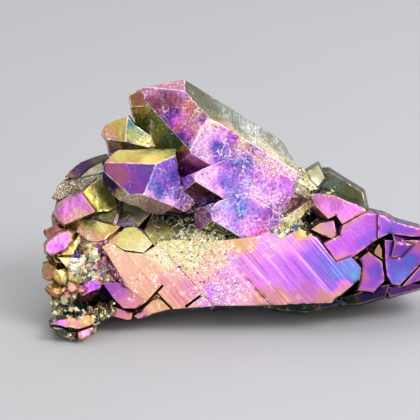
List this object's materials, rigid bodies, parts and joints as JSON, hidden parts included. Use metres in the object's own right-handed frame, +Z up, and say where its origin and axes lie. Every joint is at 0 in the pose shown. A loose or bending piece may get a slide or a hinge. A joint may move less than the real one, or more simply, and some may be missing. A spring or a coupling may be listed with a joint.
{
  "type": "aura quartz crystal cluster",
  "caption": "Small cluster of intergrown quartz prisms on a blocky face of parallel crystals, coated with an iridescent violet, gold and blue metal film, lying on its own base.",
  "frame": {"origin": "centre of the bounding box, on the ground the specimen rests on", "axes": "+Z up, +X along the cluster's length to its narrow blocky end, -Y out of the side that shows the main faces"},
  "size_m": [0.0494, 0.0292, 0.028],
  "materials": {
    "titanium_film": "quartz with a thin iridescent titanium film: violet, magenta, gold and blue, glossy on the faces and frosted with fine crystals"
  },
  "bodies": {
    "root": {"quartz_cluster": "titanium_film"}
  },
  "joints": []
}
